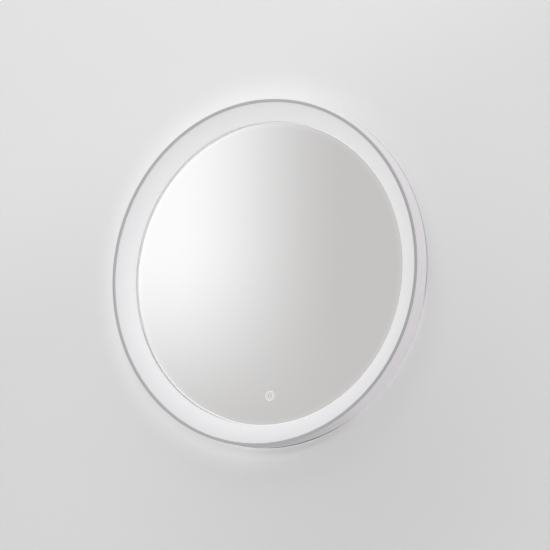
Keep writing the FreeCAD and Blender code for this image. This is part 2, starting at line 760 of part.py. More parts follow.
def make_hanger_rail():
    body = new_body("hanger_rail", on_mirror_axis=False)
    sketch = new_sketch(body, "YZ_Plane")
    back = "wall_gap - rail_thick"
    section = [
        ("rail_room", "rail_top - hanger_tongue"), ("rail_room + rail_thick", "rail_top - hanger_tongue"),
        ("rail_room + rail_thick", "rail_top"), ("wall_gap", "rail_top"),
        ("wall_gap", "hanger_top"), (back, "hanger_top"),
        (back, "rail_top + rail_thick"), ("rail_room", "rail_top + rail_thick"),
    ]
    draw_outline(sketch, [(f"-({standoff})", up) for standoff, up in section])
    hook = pad(body, sketch, "hanger_length", symmetric=True)
    hook = soften(body, hook, "hanger_corner", corner_at("hanger_top"))
    soften(body, hook, "rail_round", runs_along(X_AXIS))
    sketch = new_sketch(body, "XZ_Plane", "wall_gap")
    for place in rivet_places():
        draw_circle(sketch, place, "rail_top + rivet_rise", "rivet_radius + fit_gap")
    pocket(body, sketch, "2 * rail_thick + cut_overrun")


def make_hanger_rivets():
    body = new_body("hanger_rivets", on_mirror_axis=False)
    head_front = "wall_gap - rail_thick"
    stages = (
        (f"{head_front} - rivet_head", "rivet_head_radius", "rivet_head"),
        (head_front, "rivet_radius", "rail_thick + plate_thick"),
        ("plate_front", "rivet_tail_radius", "rivet_tail"),
    )
    for standoff, radius, length in stages:
        sketch = new_sketch(body, "XZ_Plane", standoff)
        for place in rivet_places():
            draw_circle(sketch, place, "rail_top + rivet_rise", radius)
        pad(body, sketch, length)


def make_wall_bumpers():
    body = new_body("wall_bumpers")
    circle = "outer_radius - bumper_inset"
    sketch = new_sketch(body, "XZ_Plane")
    for side in ("-", ""):
        across = f"{side}({circle}) * cos(bumper_angle * 1 deg)"
        draw_circle(sketch, across, f"-({circle}) * sin(bumper_angle * 1 deg)", "bumper_radius")
    foot = pad(body, sketch, "wall_gap")
    soften(body, foot, "bumper_taper", circle_at("bumper_radius", "0"), "Chamfer")


make_trim_ring()
make_diffuser_ring()
make_side_band()
make_mirror_glass()
make_glass_seats()
make_chassis_ring()
make_led_strip()
make_led_chips()
make_back_plate()
make_plate_fixings()
make_driver()
make_inlet()
make_touch_switch()
make_leads()
make_lead_clips()
make_wall_rail()
make_hanger_rail()
make_hanger_rivets()
make_wall_bumpers()

doc.recompute()
for item in doc.Objects:
    if {"Invalid", "Error"} & set(item.State):
        raise RuntimeError(f"{item.Label} failed: {item.State}")
for node in nodes:
    if node.Shape.isNull() or not node.Shape.isValid() or not node.Shape.Solids:
        raise RuntimeError(f"{node.Label} has no valid solid")

os.makedirs("parts", exist_ok=True)
for node in nodes:
    node.Shape.exportStep(f"parts/{node.Label}.step")
    print(f"{node.Label}: {len(node.Shape.Solids)} solids, {node.Shape.Volume / 1000:.2f} cm3")
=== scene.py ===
"""Looks for the round LED wall mirror: finishes, fine pieces, wall, light and camera around its frame.

All places are in metres in the row frame: +X right, +Z up, and the mirror stands off the wall towards -Y.
A stand-off of d from the wall lies at y = -d.
"""
import math

import bmesh
import bpy
from bpy.props import FloatProperty, FloatVectorProperty, IntProperty, PointerProperty
from mathutils import Matrix, Vector


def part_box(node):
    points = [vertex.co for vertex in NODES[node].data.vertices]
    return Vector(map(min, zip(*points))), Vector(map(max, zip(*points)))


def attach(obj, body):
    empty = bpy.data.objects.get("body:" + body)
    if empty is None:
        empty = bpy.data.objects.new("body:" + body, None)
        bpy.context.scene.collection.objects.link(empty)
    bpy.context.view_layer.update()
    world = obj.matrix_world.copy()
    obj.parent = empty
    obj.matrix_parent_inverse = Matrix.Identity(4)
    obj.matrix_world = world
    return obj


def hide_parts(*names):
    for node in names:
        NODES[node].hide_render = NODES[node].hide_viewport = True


bl_info = {
    "name": "Round LED Mirror",
    "version": (1, 0, 0),
    "blender": (4, 5, 0),
    "location": "View3D > Sidebar > Mirror",
    "description": "Finishes, fine pieces, wall, light and camera for a round LED wall mirror",
    "category": "Object",
}

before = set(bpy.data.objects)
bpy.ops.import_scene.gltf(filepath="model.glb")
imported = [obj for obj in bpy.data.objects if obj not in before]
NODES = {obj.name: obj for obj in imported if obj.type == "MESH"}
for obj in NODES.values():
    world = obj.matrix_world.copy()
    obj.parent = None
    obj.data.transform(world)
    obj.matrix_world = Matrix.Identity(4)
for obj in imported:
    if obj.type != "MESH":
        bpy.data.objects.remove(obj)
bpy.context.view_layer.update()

# Places read from the frame
GLASS_LOW, GLASS_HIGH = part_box("mirror_glass")
AXIS_Z = (GLASS_LOW.z + GLASS_HIGH.z) / 2
GLASS_FRONT = -GLASS_LOW.y


def reach(node):
    """Least and greatest distance of a node's points from the mirror's axis."""
    distances = [math.hypot(point.co.x, point.co.z - AXIS_Z) for point in NODES[node].data.vertices]
    return min(distances), max(distances)


def standoffs(node):
    """A node's least and greatest distance from the wall."""
    low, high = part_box(node)
    return -high.y, -low.y


LIP_INNER, OUTER_RADIUS = reach("trim_ring")
VIEW_RADIUS, RING_RIM = reach("diffuser_ring")
LEG_BACK, LIP_FRONT = standoffs("trim_ring")
FOOT_BACK, LIP_BACK = standoffs("diffuser_ring")
BAND_BACK = standoffs("side_band")[0]
PLATE_REAR, PLATE_FRONT = standoffs("back_plate")

# The painted wall lies just behind the pieces that touch it
WALL_Y = 0.0002

# Steps round a large ring and round a small fixing, and along each rounded corner
RING_STEPS = 360
SCREW_STEPS = 40
ROUND_STEPS = 5

# Corners sharper than this angle stay sharp, and points closer than this become one
SHARP_ANGLE = math.radians(35)
MERGE_DISTANCE = 1e-7

# Refraction of what the pieces are made of
ACRYLIC_IOR = 1.49
GLASS_IOR = 1.52
FILM_IOR = 1.5
PLASTIC_IOR = 1.5
SILICONE_IOR = 1.41
FOAM_IOR = 1.4

# Frost of the etched marks: cycles a metre, and depth in metres
FROST_SCALE = 2600.0
FROST_DEPTH = 0.000008

# Touch mark, in widths of its line: how far in its inner circle lies, that circle's line and the dot's radius
MARK_STEP = 2.4
MARK_INNER_LINE = 0.7
MARK_DOT = 0.8

# The windows painted on the chips start this far below the level line at the right, in radians
WINDOW_TURN = 0.0075

# Each lamp's width, and where it stands
LAMPS = {
    "key": (1.6, (1.30, -3.98, 0.45)),
    "fill": (1.2, (-0.5, -1.4, 1.9)),
    "back": (0.8, (-1.5, 1.9, 1.5)),
}

# Edges of the panel that the mirror shows, and how far in front of the wall it stands
PANEL_LEFT, PANEL_RIGHT = -3.4, 0.6
PANEL_LOW, PANEL_HIGH = -0.7, 1.7
PANEL_AWAY = 3.2

# The camera sees as far as this
CAMERA_REACH = 100.0

BLACK = (0.0, 0.0, 0.0)


def length(name, description, default, least=0.0):
    """A property for a length in metres."""
    return FloatProperty(name=name, description=description, default=default, min=least, precision=5,
                         unit="LENGTH", subtype="DISTANCE")


def tint(name, description, default):
    """A property for a colour."""
    return FloatVectorProperty(name=name, description=description, default=default, size=3, min=0, max=1,
                               subtype="COLOR")


def power(name, description, default):
    """A property for the power of a lamp in watts."""
    return FloatProperty(name=name, description=description, default=default, min=0, unit="POWER")


def turn(name, description, degrees):
    """A property for an angle."""
    return FloatProperty(name=name, description=description, default=math.radians(degrees), subtype="ANGLE")


def count(name, description, default):
    """A property for how many there are of a thing."""
    return IntProperty(name=name, description=description, default=default, min=1)


class MirrorSizes(bpy.types.PropertyGroup):
    """Sizes of the fine pieces that the frame's boxes don't give."""
    edge_round: length("Lip rounding", "Rounding of the lip's two front edges", 0.0005)
    fine_round: length("Fine rounding", "Broken edge on moulded and cut pieces", 0.00025)
    leg_thick: length("Lip leg", "Thickness of the lip's hidden leg", 0.001)
    fit_gap: length("Fit", "Room between round pieces that fit together", 0.00015)
    band_thick: length("Side band", "Thickness of the side band", 0.0025)
    diffuser_thick: length("Light ring", "Thickness of the light ring, square to its slope", 0.0025)
    foot_height: length("Foot height", "Upright wall of the light ring, from the glass", 0.003)
    foot_width: length("Foot width", "Width of the light ring's foot on the glass", 0.0045)
    foot_round: length("Foot rounding", "Rounding where the foot meets the slope", 0.0007)
    film: length("Film", "How far the etched marks stand out of the glass", 0.00004)
    line_width: length("Light line", "Width of the lit line at the edge of the mirror", 0.0017)
    line_inset: length("Light line inset", "From the light ring's foot to the lit line", 0.0003)
    line_shift: length("Light line shift", "How much further in the lit line lies at the left", 0.0016)
    mark_radius: length("Touch mark", "Outer radius of the touch mark", 0.0088)
    mark_rise: length("Mark rise", "Touch mark above the middle of the touch switch", 0.0018)
    mark_line: length("Mark line", "Line width of the touch mark", 0.0013)
    screw_head_radius: length("Screw head", "Radius of the plate screws' heads", 0.0036)
    screw_radius: length("Screw", "Radius of the plate screws' shanks", 0.0016)
    bolt_head_radius: length("Bolt head", "Radius of the carrier bolts' heads", 0.004)
    bolt_radius: length("Bolt", "Radius of the carrier bolts' shanks", 0.002)
    rivet_head: length("Rivet head height", "Height of the hanger rivets' heads", 0.0009)
    rivet_head_radius: length("Rivet head", "Radius of the hanger rivets' heads", 0.0032)
    rivet_radius: length("Rivet", "Radius of the hanger rivets' bodies", 0.0016)
    rivet_tail_radius: length("Rivet tail", "Radius of the hanger rivets' set tails", 0.0024)
    rivet_count: count("Rivets", "Rivets in the hanger", 4)
    band_screw_count: count("Band screws", "Screws in the side band", 8)
    bolt_count: count("Carrier bolts", "Bolts in the carrier", 6)
    supply_screw_count: count("Supply screws", "Screws in the power supply", 2)
    chip_count: count("Chips", "Chips on the light strip", 100)
    seed: IntProperty(name="Seed", description="Seed for the turn of each screw's drive", default=3, min=0)


class MirrorColours(bpy.types.PropertyGroup):
    """Colours of the finishes."""
    lip: tint("Lip", "Satin anodised aluminium", (0.575, 0.565, 0.58))
    ring: tint("Light ring", "Opal acrylic of the light ring", (0.875, 0.875, 0.888))
    # Painted shade: a slightly darker, warmer tint of the light ring towards its upper right
    ring_shaded_right: tint("Light ring, right", "Opal acrylic of the light ring at its upper right",
                     (0.868, 0.86, 0.863))
    band: tint("Side band", "Opal acrylic of the side band", (0.88, 0.84, 0.88))
    # Painted shadow: the dark line along the side band's rear edge stands for the shadow in the gap to the
    # wall
    shadow_line: tint("Edge line", "Dark line at the side band's rear edge", (0.15, 0.15, 0.16))
    glow: tint("Glow", "Light that comes through the opal acrylic", (1.0, 1.0, 1.0))
    silver: tint("Mirror", "Silvering behind the glass", (0.94, 0.924, 0.918))
    glass_edge: tint("Glass edge", "Ground edge of the glass", (0.35, 0.48, 0.44))
    light_line: tint("Light line", "Frosted line at the mirror's edge", (0.90, 0.90, 0.90))
    touch_mark: tint("Touch mark", "Frosted touch mark", (0.86, 0.855, 0.81))
    zinc: tint("Zinc", "Zinc coat on sheet and screws", (0.60, 0.61, 0.62))
    rubber: tint("Rubber", "Feet and supply inlet", (0.035, 0.035, 0.036))
    supply: tint("Supply case", "Power supply and touch switch", (0.80, 0.80, 0.77))
    terminal: tint("Terminal", "Terminal block", (0.74, 0.72, 0.64))
    clip: tint("Clips", "Nylon of the lead clips", (0.82, 0.81, 0.75))
    tape: tint("Tape", "Foam of the tapes", (0.80, 0.80, 0.78))
    circuit: tint("Circuit", "White coat of the light strip and its chips", (0.86, 0.86, 0.84))
    copper: tint("Copper", "Pads on the light strip", (0.72, 0.42, 0.25))
    phosphor: tint("Phosphor", "Window of a chip", (0.82, 0.62, 0.14))
    chip_light: tint("Chip light", "Light of a chip", (0.5, 0.46, 0.34))
    lead: tint("Lead", "Insulation of the inside leads", (0.78, 0.78, 0.76))
    live: tint("Live core", "Insulation of the upper supply core", (0.16, 0.06, 0.03))
    neutral: tint("Neutral core", "Insulation of the lower supply core", (0.03, 0.10, 0.42))
    # Painted light: the wall is lighter above the mirror
    wall_lit_high: tint("Wall, high", "Backdrop paint above the mirror", (0.86, 0.86, 0.86))
    wall: tint("Wall", "Backdrop paint beside the mirror, and the floor", (0.797, 0.797, 0.797))
    # Painted shadow: the darker wall below the mirror, to its right
    wall_shadow_low: tint("Wall, low", "Backdrop paint below the mirror, to its right", (0.70, 0.70, 0.70))
    sky: tint("Studio", "Even light of the studio", (0.595, 0.595, 0.595))


class StageSettings(bpy.types.PropertyGroup):
    """Camera and lights."""
    azimuth: turn("Azimuth", "Camera to the right of the mirror's axis", 29.435)
    elevation: turn("Elevation", "Camera above the mirror's axis", -7.57)
    distance: length("Distance", "Camera to the middle of the lip", 41.093)
    aim_right: length("Aim right", "Middle of the view, right of the lip's middle", 0.0187, -1.0)
    aim_up: length("Aim up", "Middle of the view, above the lip's middle", -0.00455, -1.0)
    lens: FloatProperty(name="Lens", description="Focal length in millimetres", default=1567.8, min=1,
                        unit="CAMERA")
    key_power: power("Key light", "Power of the key light", 38.0)
    fill_power: power("Fill light", "Power of the fill light", 6.0)
    back_power: power("Back light", "Power of the lamp behind the mirror", 30.0)
    panel_light: tint("Panel", "Light of the panel that the mirror shows, over the studio's",
                      (0.435, 0.451, 0.460))
    floor_drop: length("Floor", "Floor below the wall rail", 1.6)


# Node trees
class Reading:
    """A number that varies over a surface: sums with it add Math nodes."""

    def __init__(self, paint, socket):
        self.paint = paint
        self.socket = socket

    def __add__(self, other):
        return self.paint.math("ADD", self, other)

    def __sub__(self, other):
        return self.paint.math("SUBTRACT", self, other)

    def __rsub__(self, other):
        return self.paint.math("SUBTRACT", other, self)

    def __mul__(self, other):
        return self.paint.math("MULTIPLY", self, other)

    def __truediv__(self, other):
        return self.paint.math("DIVIDE", self, other)

    def __pow__(self, other):
        return self.paint.math("POWER", self, other)

    __radd__ = __add__
    __rmul__ = __mul__


class Tree:
    """A node tree, filled by one method for every kind of node."""

    def __init__(self, tree):
        self.tree = tree

    def node(self, kind, settings=None, sockets=None):
        """Adds a node, makes its settings, then fills its sockets with values or links."""
        made = self.tree.nodes.new(kind)
        for key, value in (settings or {}).items():
            setattr(made, key, value)
        for key, value in (sockets or {}).items():
            self.fill(socket_of(made.inputs, key), value)
        return made

    def fill(self, socket, value):
        """Sets a socket to a value, or links it."""
        if isinstance(value, Reading):
            value = value.socket
        if isinstance(value, bpy.types.NodeSocket):
            self.tree.links.new(value, socket)
        else:
            socket.default_value = value


def socket_of(sockets, key):
    """The socket with that identifier, or else with that name."""
    for socket in sockets:
        if socket.identifier == key:
            return socket
    return sockets[key]


class Paint(Tree):
    """A material: its shader, and readings of where a point lies on the piece."""

    def __init__(self, name, constants):
        self.material = bpy.data.materials.new(name)
        self.material.use_nodes = True
        super().__init__(self.material.node_tree)
        self.shader = self.tree.nodes["Principled BSDF"]
        for key, value in constants.items():
            self.feed(key, value)
        self.place = self.node("ShaderNodeTexCoord").outputs["Object"]

    def feed(self, key, value):
        """Gives the shader a value or a link."""
        self.fill(self.shader.inputs[key], value)

    def math(self, operation, first, second=0.0):
        """One sum on readings or numbers."""
        sockets = {"Value": first, "Value_001": second}
        return Reading(self, self.node("ShaderNodeMath", {"operation": operation}, sockets).outputs[0])

    def parts(self, vector):
        """The three parts of a vector."""
        split = self.node("ShaderNodeSeparateXYZ", sockets={"Vector": vector})
        return [Reading(self, output) for output in split.outputs]

    def vector(self, x, y, z):
        """A vector from three readings or numbers."""
        return self.node("ShaderNodeCombineXYZ", sockets={"X": x, "Y": y, "Z": z}).outputs[0]

    def polar(self):
        """Distance from the mirror's axis, angle round it, and stand-off from the wall."""
        x, y, z = self.parts(self.place)
        rise = z - AXIS_Z
        radius = (x * x + rise * rise) ** 0.5
        return radius, self.math("ARCTAN2", rise, x), y * -1

    def noise(self, scale, detail=2.0, at=None, stretch=(1, 1, 1)):
        """Cloudy noise from 0 to 1; scale is in cycles a metre."""
        spot = self.node("ShaderNodeMapping", sockets={"Vector": at or self.place, "Scale": stretch})
        sockets = {"Vector": spot.outputs[0], "Scale": scale, "Detail": detail}
        return Reading(self, self.node("ShaderNodeTexNoise", sockets=sockets).outputs[0])

    def cells(self, scale, at=None):
        """A random colour for each cell, and the distance from the cell's middle."""
        made = self.node("ShaderNodeTexVoronoi", sockets={"Vector": at or self.place, "Scale": scale})
        return made.outputs["Color"], Reading(self, made.outputs["Distance"])

    def step(self, reading, low, high, start=0.0, end=1.0):
        """A smooth step from start to end as the reading goes from low to high."""
        sockets = {"Value": reading, "From Min": low, "From Max": high, "To Min": start, "To Max": end}
        made = self.node("ShaderNodeMapRange", {"interpolation_type": "SMOOTHSTEP"}, sockets)
        return Reading(self, made.outputs[0])

    def facing(self, angle, degrees):
        """Cosine of the angle off a direction round the axis: 1 that way and -1 the other way."""
        return self.math("COSINE", angle - math.radians(degrees))

    def near(self, angle, degrees):
        """A share that falls from 1 in a direction round the axis to 0 a quarter turn off it."""
        return self.math("MAXIMUM", self.facing(angle, degrees), 0.0)

    def toward(self, angle, degrees, low, high, start=0.0, end=1.0):
        """A smooth step round the axis, between two cosines of the angle off a direction."""
        return self.step(self.facing(angle, degrees), low, high, start, end)

    def blend(self, first, second, share):
        """A mix of two colours."""
        sockets = {"Factor_Float": share, "A_Color": solid(first), "B_Color": solid(second)}
        made = self.node("ShaderNodeMix", {"data_type": "RGBA"}, sockets)
        return socket_of(made.outputs, "Result_Color")

    def shades(self, colour, first, second, share):
        """A mix of two shades of one colour, each given by its factor."""
        return self.blend(shade(colour, first), shade(colour, second), share)

    def bump(self, height, distance):
        """Fine relief; distance is the height in metres of a full step."""
        sockets = {"Height": height, "Distance": distance, "Strength": 1.0}
        self.feed("Normal", self.node("ShaderNodeBump", sockets=sockets).outputs[0])

    def glow(self, colour, share):
        """Lets a share of a colour out of the surface as light."""
        self.feed("Emission Strength", 1.0)
        self.feed("Emission Color", self.blend(BLACK, colour, share))

    def finish(self, colour, rough, relief, depth):
        """Feeds the colour, the roughness and the relief, and gives the material."""
        self.feed("Base Color", colour)
        self.feed("Roughness", rough)
        self.bump(relief, depth)
        return self.material

    def surface(self, shader):
        """Puts another shader on the surface."""
        self.fill(self.tree.nodes["Material Output"].inputs["Surface"], shader.outputs[0])


def solid(colour):
    """A colour with full cover, or a colour's socket as it is."""
    if isinstance(colour, bpy.types.NodeSocket):
        return colour
    return (*colour, 1.0)


def shade(colour, factor):
    """A colour made darker or lighter."""
    return tuple(min(1.0, part * factor) for part in colour)


# Finishes
def satin_aluminium(colours):
    """Satin anodised metal with the fine rings that turning leaves, and painted shade on its right side."""
    paint = Paint("satin_aluminium", {"Metallic": 1.0})
    radius, angle, standoff = paint.polar()
    rings = paint.noise(1.0, 3.0, paint.vector(radius * 5000, angle * 6, standoff * 5000))
    haze = paint.noise(9.0, 3.0)
    # Painted shade: the lip is darkened towards its right side, where less light falls on it
    right = paint.near(angle, 0) ** 1.5
    metal = paint.shades(colours.lip, 0.94, 1.05, rings)
    metal = paint.blend(metal, shade(colours.lip, 0.8), right * 0.9)
    return paint.finish(metal, 0.40 + rings * 0.10 + haze * 0.06, rings, 0.000006)


def opal_acrylic(name, colour):
    """Satin opal acrylic: its paint, its cloudy colour and the cloudiness."""
    paint = Paint(name, {"IOR": ACRYLIC_IOR})
    cloud = paint.noise(6.0)
    grain = paint.noise(1800.0)
    paint.feed("Roughness", 0.42 + grain * 0.10)
    paint.bump(grain, 0.00001)
    return paint, paint.shades(colour, 0.985, 1.01, cloud), cloud


def opal_ring(colours, slope_start):
    """The light ring: its glow grows towards the mirror; its foot has painted shade, most at the lower left,
    and a faint painted glow, strongest towards the top.
    """
    paint, cloudy, cloud = opal_acrylic("opal_diffuser", colours.ring)
    radius, angle, standoff = paint.polar()
    slope = paint.step(standoff, slope_start - 0.0004, slope_start + 0.0008)
    high = paint.toward(angle, 110, 0.0, 0.7)
    low = paint.toward(angle, 220, 0.89, 0.985)
    # Painted shade: the ring's face turns to a slightly darker tint towards the upper right
    right = paint.toward(angle, 50, -0.2, 0.7)
    # Painted shade: the foot is darker than the slope, most at the lower left
    foot = paint.shades(colours.ring, 0.95, 0.78, low)
    face = paint.blend(cloudy, colours.ring_shaded_right, right)
    paint.feed("Base Color", paint.blend(foot, face, slope))
    lit = paint.step(radius, LIP_INNER, VIEW_RADIUS, 0.0, 0.06) + cloud * 0.01
    # Painted light: the foot's faint glow, strongest towards the top
    dim = 0.03 * (1 - low) + high * 0.075
    paint.glow(colours.glow, lit * slope + (1 - slope) * dim)
    return paint.material


def opal_side(colours):
    """The side band: a glow strongest towards the top, painted shade underneath, a painted shadow line at its
    rear edge, and a painted glow on its rear face that lights the wall behind.
    """
    paint, cloudy, cloud = opal_acrylic("opal_band", colours.band)
    _, angle, standoff = paint.polar()
    sine, cosine = paint.math("SINE", angle), paint.math("COSINE", angle)
    # Painted shade: the band's underside is darkened, where less light reaches it
    shaded_underside = paint.step(sine, -0.75, -1.05)
    # Painted shadow: a dark line along the rear edge for the shadow in the gap to the wall, widest at the
    # bottom and fading out at the lower right
    fading = paint.toward(angle, -36, 0.866, 0.951, 1.0, 0.1)
    low = paint.step(sine, -0.5, -0.7) * paint.step(cosine, 0.5, 0.2) * paint.step(cosine, -0.06, 0.0)
    line = paint.step(standoff - low * 0.0055, BAND_BACK + 0.0014, BAND_BACK + 0.001) * fading
    sides = paint.blend(cloudy, shade(colours.band, 0.68), shaded_underside)
    paint.feed("Base Color", paint.blend(sides, colours.shadow_line, line))
    # The band's glow is partly the light of the strip inside; its rise towards the top and fall towards the
    # bottom is painted light
    lit = (0.075 + paint.facing(angle, 75) * 0.08 + cloud * 0.02) * (1 - line)
    # Painted light: the band's rear face, towards the wall, glows all round, half as much at the lower right,
    # to light the wall behind the band and fill its shadow
    rear = paint.step(standoff, BAND_BACK + 0.0003, BAND_BACK + 0.0001)
    painted_rear_glow = (1.2 - paint.near(angle, -25) * 0.6) * rear
    paint.glow(colours.glow, lit + painted_rear_glow)
    return paint.material


def silvered_glass(colours):
    """Mirror glass: clean silver with a painted glow by the ring, and green glass at its ground edge."""
    paint = Paint("mirror", {"IOR": GLASS_IOR})
    radius = paint.polar()[0]
    edge = paint.step(radius, VIEW_RADIUS + 0.0035, VIEW_RADIUS + 0.004)
    wipe = paint.noise(14.0, 4.0, stretch=(1, 1, 2.5))
    paint.feed("Base Color", paint.blend(colours.silver, colours.glass_edge, edge))
    paint.feed("Metallic", 1 - edge)
    paint.feed("Roughness", 0.004 + wipe * 0.012 + edge * 0.2)
    # Painted light: the silver glows faintly near the light ring
    painted_spill = paint.step(radius, VIEW_RADIUS - 0.014, VIEW_RADIUS, 0.0, 0.05) * (1 - edge)
    paint.glow(colours.glow, painted_spill)
    return paint.material


def frosted(name):
    """Paint for an etched mark in the silvering, and its frost."""
    paint = Paint(name, {"IOR": FILM_IOR})
    return paint, paint.noise(FROST_SCALE)


def edge_light(colours, sizes):
    """The lit line round the mirror: further in at the left, with painted shade at the upper left, where it
    is grey and unlit.
    """
    paint, frost = frosted("light_line")
    radius, angle, _ = paint.polar()
    place = radius + paint.toward(angle, 180, 0.2, 0.42) * sizes.line_shift
    outer = VIEW_RADIUS - sizes.line_inset
    inner = outer - sizes.line_width
    line = paint.step(place, inner, inner + 0.0002) * paint.step(place, outer, outer - 0.0002)
    # Painted shade: towards the upper left the line's glow is taken off and its colour greyed, giving a dark
    # line by the light ring's foot
    unlit = paint.toward(angle, 135, 0.25, 0.6)
    grey = paint.toward(angle, 150, 0.35, 0.8)
    etched = paint.shades(colours.light_line, 0.97, 1.02, frost)
    etched = paint.blend(etched, shade(colours.light_line, 0.72), grey)
    paint.feed("Metallic", 1 - line)
    paint.glow(shade(colours.light_line, 0.23), line * (1 - unlit))
    face = paint.blend(colours.silver, etched, line)
    return paint.finish(face, 0.01 + line * (0.54 + frost * 0.2), frost * line, FROST_DEPTH)


def touch_light(colours):
    """The etched touch mark, lit from behind."""
    paint, frost = frosted("touch_mark")
    mark = colours.touch_mark
    paint.glow(mark, 0.15 + frost * 0.03)
    return paint.finish(paint.shades(mark, 0.96, 1.03, frost), 0.55 + frost * 0.2, frost, FROST_DEPTH)


def clear_gasket(colours):
    """Clear silicone with a glow: partly the ring's light that it carries to the edge of the mirror, and
    painted light where it grows towards the upper left.
    """
    paint = Paint("clear_gasket", {"IOR": SILICONE_IOR})
    # Painted light: the gasket glows, more towards the upper left
    lit = paint.toward(paint.polar()[1], 140, -0.17, 0.17)
    paint.glow(colours.glow, 0.1 + lit * 0.15)
    cloud = paint.noise(700.0, 3.0)
    clear, milky = (0.65, 0.65, 0.65), (0.73, 0.73, 0.73)
    return paint.finish(paint.blend(clear, milky, cloud), 0.3 + cloud * 0.14, cloud, 0.00002)


def galvanised_sheet(colours):
    """Hot-dip zinc: a spangle of crystals, each with its own grey, and faint rolling lines."""
    paint = Paint("galvanised_steel", {"Metallic": 1.0})
    wander = paint.noise(25.0)
    x, y, z = paint.parts(paint.place)
    spot = paint.vector(x + wander * 0.01, y, z + wander * 0.01)
    flake, _ = paint.cells(75.0, spot)
    crystal = paint.parts(flake)[0]
    lines = paint.noise(30.0, 3.0, stretch=(1, 1, 40))
    dull = paint.noise(4.0, 3.0)
    zinc = paint.shades(colours.zinc, 0.86, 1.08, crystal * 0.7 + dull * 0.3)
    relief = crystal * 0.5 + lines * 0.5
    return paint.finish(zinc, 0.32 + crystal * 0.14 + lines * 0.08, relief, 0.000012)


def zinc_plate(name, colours, scale):
    """Bright zinc plate with a bluish film and fine drawing lines; scale is in lines a metre."""
    paint = Paint(name, {"Metallic": 1.0})
    lines = paint.noise(scale, 3.0, stretch=(0.04, 1, 1))
    film = paint.noise(scale * 0.05, 3.0)
    bright = shade(colours.zinc, 1.14)
    cool = (bright[0] * 0.93, bright[1] * 0.97, bright[2])
    zinc = paint.blend(cool, bright, film)
    return paint.finish(zinc, 0.24 + lines * 0.14 + film * 0.06, lines, 0.00001)


def bright_aluminium():
    """Bright rivet metal, a little scuffed by the setting tool."""
    paint = Paint("rivet_aluminium", {"Metallic": 1.0})
    scuff = paint.noise(700.0, 3.0)
    dull, bright = (0.70, 0.70, 0.71), (0.80, 0.80, 0.81)
    return paint.finish(paint.blend(dull, bright, scuff), 0.22 + scuff * 0.18, scuff, 0.00001)


def moulded(name, colour, rough, scale, depth):
    """A moulded plastic or rubber with a spark-eroded grain and a little uneven colour."""
    paint = Paint(name, {"IOR": PLASTIC_IOR})
    grain = paint.noise(scale, 3.0)
    cloud = paint.noise(20.0)
    return paint.finish(paint.shades(colour, 0.93, 1.04, cloud), rough + grain * 0.14, grain, depth)


def foam(name, colour):
    """Closed-cell foam: small cells in relief."""
    paint = Paint(name, {"IOR": FOAM_IOR})
    _, pore = paint.cells(1400.0)
    return paint.finish(paint.shades(colour, 1.0, 0.8, pore), 0.78 + pore * 0.15, pore, 0.00008)


def cable_jacket(name, upper, lower, split_z):
    """Extruded insulation, one colour above a height and another below it."""
    paint = Paint(name, {"IOR": PLASTIC_IOR})
    _, _, z = paint.parts(paint.place)
    rub, worn = paint.noise(260.0), (0.5, 0.5, 0.5)
    above = paint.step(z, split_z - 0.0002, split_z + 0.0002)
    rubbed = paint.blend(paint.blend(lower, upper, above), worn, rub * 0.08)
    return paint.finish(rubbed, 0.34 + rub * 0.16, rub, 0.00002)


def strip_circuit(colours, chip_count):
    """White flexible circuit with a pair of copper pads between each two chips."""
    paint = Paint("strip_circuit", {"IOR": PLASTIC_IOR})
    _, angle, standoff = paint.polar()
    low, high = standoffs("led_strip")
    along = paint.math("FRACT", angle * (chip_count / math.tau))
    across = (standoff - low) / (high - low)
    near_cut = 1 - paint.step(paint.math("ABSOLUTE", along - 0.35), 0.05, 0.055)
    off_middle = paint.math("ABSOLUTE", across - 0.5)
    pad = near_cut * paint.step(off_middle, 0.14, 0.15) * (1 - paint.step(off_middle, 0.34, 0.35))
    mask_ink = paint.noise(300.0)
    paint.feed("Metallic", pad)
    face = paint.blend(colours.circuit, colours.copper, pad)
    return paint.finish(face, 0.42 + mask_ink * 0.1 - pad * 0.12, pad, 0.00003)


def led_lens(colours, chip_count):
    """A chip: a yellow phosphor window in a white case."""
    paint = Paint("led_lens", {"IOR": PLASTIC_IOR, "Coat Roughness": 0.1})
    _, angle, standoff = paint.polar()
    low, high = standoffs("led_chips")
    per_radian = chip_count / math.tau
    along = paint.math("FRACT", angle * per_radian + 0.5 + WINDOW_TURN * per_radian)
    off_middle = paint.math("ABSOLUTE", along - 0.5)
    across = paint.math("ABSOLUTE", (standoff - low) / (high - low) - 0.5)
    window = (1 - paint.step(off_middle, 0.075, 0.085)) * (1 - paint.step(across, 0.36, 0.39))
    speck = paint.noise(900.0)
    paint.feed("Base Color", paint.blend(colours.circuit, colours.phosphor, window))
    paint.glow(colours.chip_light, window * (0.8 + speck * 0.4))
    paint.feed("Roughness", 0.3 + speck * 0.1)
    paint.feed("Coat Weight", window * 0.6)
    return paint.material


# Meshes
def rounded_outline(corners):
    """A closed outline; each corner is a radius, a stand-off and its rounding."""
    points = []
    for i, (radius, standoff, rounding) in enumerate(corners):
        corner = Vector((radius, standoff))
        before = (Vector(corners[i - 1][:2]) - corner).normalized()
        after = (Vector(corners[(i + 1) % len(corners)][:2]) - corner).normalized()
        if rounding == 0:
            points.append(corner)
            continue
        half = before.angle(after) / 2
        centre = corner + (before + after).normalized() * (rounding / math.sin(half))
        start = (corner + before * (rounding / math.tan(half)) - centre).normalized()
        end = (corner + after * (rounding / math.tan(half)) - centre).normalized()
        for step in range(ROUND_STEPS + 1):
            points.append(centre + start.slerp(end, step / ROUND_STEPS) * rounding)
    return points


